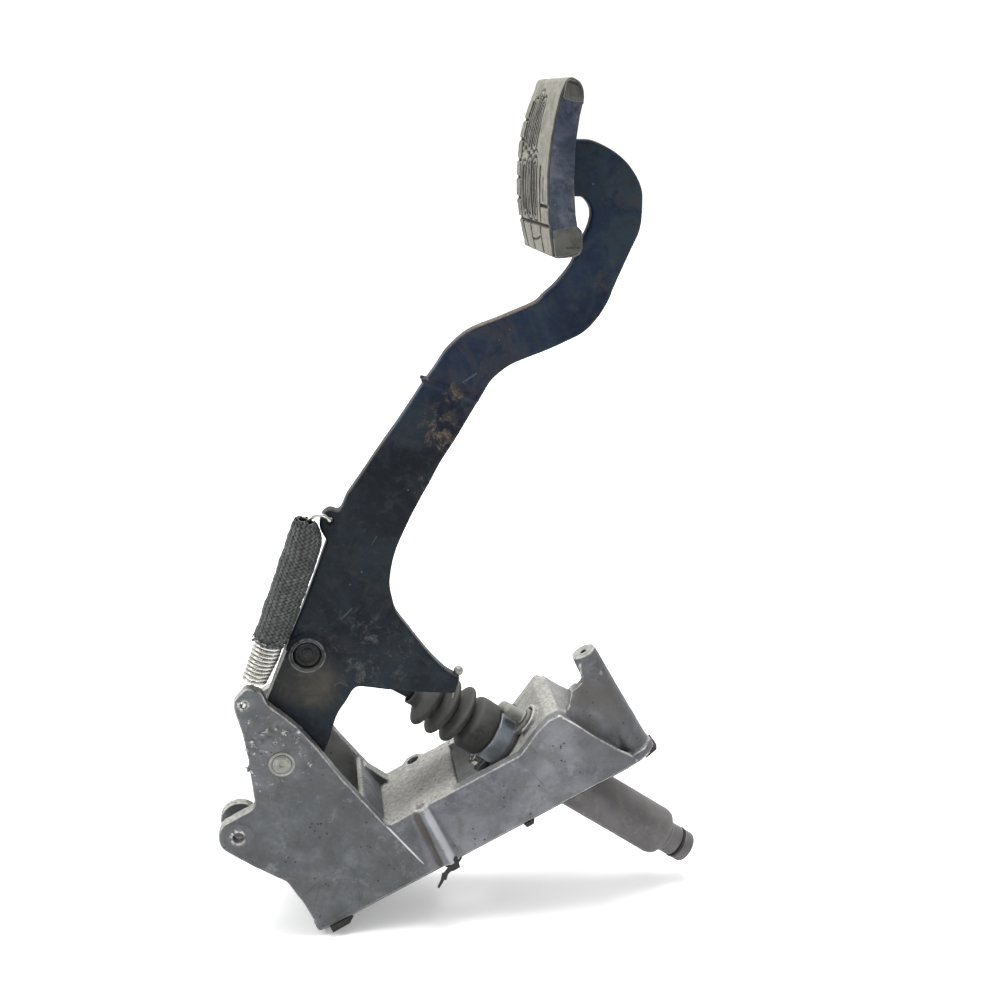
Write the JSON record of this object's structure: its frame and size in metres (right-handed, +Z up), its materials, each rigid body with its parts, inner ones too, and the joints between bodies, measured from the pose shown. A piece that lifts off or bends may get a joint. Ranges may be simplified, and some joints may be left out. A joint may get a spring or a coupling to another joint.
{
  "type": "clutch pedal assembly",
  "caption": "Heavy vehicle clutch pedal: steel lever with ribbed rubber pad, cast bracket, hydraulic master cylinder with bellows and a sleeved return spring.",
  "frame": {"origin": "on the underside of the bracket's floor web, in the plane of the mounting flange, midway between the two cheeks", "axes": "+Z up along the pedal lever, +Y across the bracket (away from the side shown in the picture), +X from the pad face towards the lever's bend, the way the pad is pushed. The mounting plane rises 27 degrees towards +X, as the pedal stands in the picture"},
  "size_m": [0.317, 0.0975, 0.5276],
  "materials": {
    "cast_alloy": "rough cast, dull grey with dark pits",
    "black_paint": "worn semi-gloss black paint, rust at edges",
    "black_rubber": "matt",
    "dusty_rubber": "dusty, matt, ribbed",
    "plain_steel": "satin",
    "zinc_plate": "dull zinc",
    "cylinder_body": "dark grey coating, dusty",
    "spring_steel": "bright",
    "braided_sleeve": "woven black sleeve",
    "bush_bronze": "oiled bronze",
    "port_plastic": "matt",
    "piston_alloy": "turned"
  },
  "bodies": {
    "bracket": {"pedal_bracket": "cast_alloy", "base_gasket": "black_rubber", "pivot_pin": "plain_steel", "pivot_pin_washer": "zinc_plate", "pivot_pin_circlip": "zinc_plate", "master_cylinder_body": "cylinder_body", "flange_bolt_a": "zinc_plate", "flange_bolt_b": "zinc_plate", "inlet_nipple": "port_plastic", "outlet_connector": "plain_steel", "outlet_o_ring": "black_rubber", "piston_stop_washer": "zinc_plate", "piston_circlip": "spring_steel", "cylinder_return_spring": "spring_steel", "dust_boot": "black_rubber"},
    "pedal": {"pedal_lever": "black_paint", "travel_stop_screw": "zinc_plate", "pivot_hub_tube": "black_paint", "pivot_bush_near": "bush_bronze", "pivot_bush_far": "bush_bronze", "pushrod_pin": "plain_steel", "pin_spacer": "zinc_plate", "pushrod_pin_clip": "zinc_plate", "pad_plate": "black_paint", "pad_rubber": "dusty_rubber"},
    "pushrod": {"pushrod": "plain_steel", "pushrod_eye": "zinc_plate", "pushrod_lock_nut": "zinc_plate"},
    "piston": {"piston": "piston_alloy", "primary_seal": "black_rubber", "secondary_seal": "black_rubber"},
    "spring_lower": {"return_spring": "spring_steel"},
    "spring_upper": {"spring_sleeve": "braided_sleeve"}
  },
  "joints": [
    {"name": "pedal_pivot", "type": "hinge", "parent": "bracket", "child": "pedal", "pos_m": [-0.0491, 0, 0.10517], "axis": [0, 1, 0], "range_deg": [0, 20], "stiffness_Nm_per_rad": 9.6, "springref_deg": -38.96},
    {"name": "pushrod_pivot", "type": "hinge", "parent": "pedal", "child": "pushrod", "pos_m": [-0.031, 0.004, 0.1723], "axis": [0, 1, 0], "range_deg": [-18.2, 0]},
    {"name": "piston_stroke", "type": "slide", "parent": "bracket", "child": "piston", "axis": [0.8192, 0, -0.5736], "range_m": [0, 0.0239], "deforming": ["cylinder_return_spring", "dust_boot"]},
    {"name": "spring_swing", "type": "hinge", "parent": "bracket", "child": "spring_lower", "pos_m": [-0.0705, -0.0315, 0.145], "axis": [0, 1, 0], "range_deg": [0, 22.9]},
    {"name": "spring_stretch", "type": "slide", "parent": "spring_lower", "child": "spring_upper", "axis": [0.4472, 0, 0.8944], "range_m": [0, 0.0146], "deforming": ["return_spring"]}
  ],
  "couplings": [
    {"joint": "pushrod_pivot", "follows": "pedal_pivot", "ratio": -0.905},
    {"joint": "piston_stroke", "follows": "pedal_pivot", "m_per_rad": 0.0682},
    {"joint": "spring_swing", "follows": "pedal_pivot", "ratio": 1.137},
    {"joint": "spring_stretch", "follows": "pedal_pivot", "m_per_rad": 0.0412}
  ]
}
